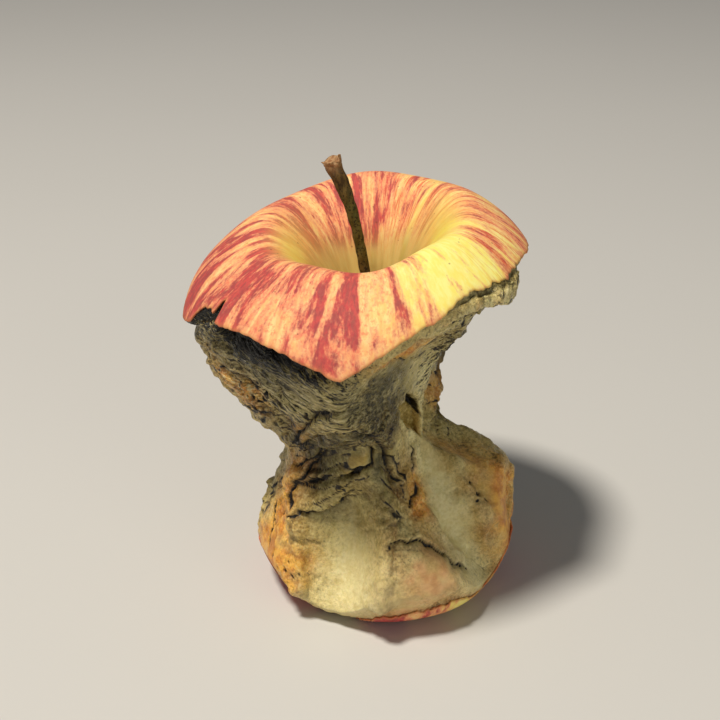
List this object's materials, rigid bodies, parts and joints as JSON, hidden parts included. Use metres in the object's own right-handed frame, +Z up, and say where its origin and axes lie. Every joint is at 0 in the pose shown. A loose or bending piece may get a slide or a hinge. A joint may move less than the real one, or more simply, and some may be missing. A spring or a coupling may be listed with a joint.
{
  "type": "apple core",
  "caption": "Eaten apple core: a skin cap with its stalk cavity and stalk, a bitten waist of torn flesh, and a skin-rimmed base that it stands on.",
  "frame": {"origin": "on the surface that the core stands on, at the centre of its bounding box", "axes": "+Z up along the core from its base to its stalk, -Y towards the side with the front corner of the cap"},
  "size_m": [0.0628, 0.0664, 0.0885],
  "materials": {
    "flesh": null,
    "skin": null,
    "stalk": "dry woody stalk and dried sepals"
  },
  "bodies": {
    "root": {"core": "flesh", "stalk": "stalk"}
  },
  "joints": []
}
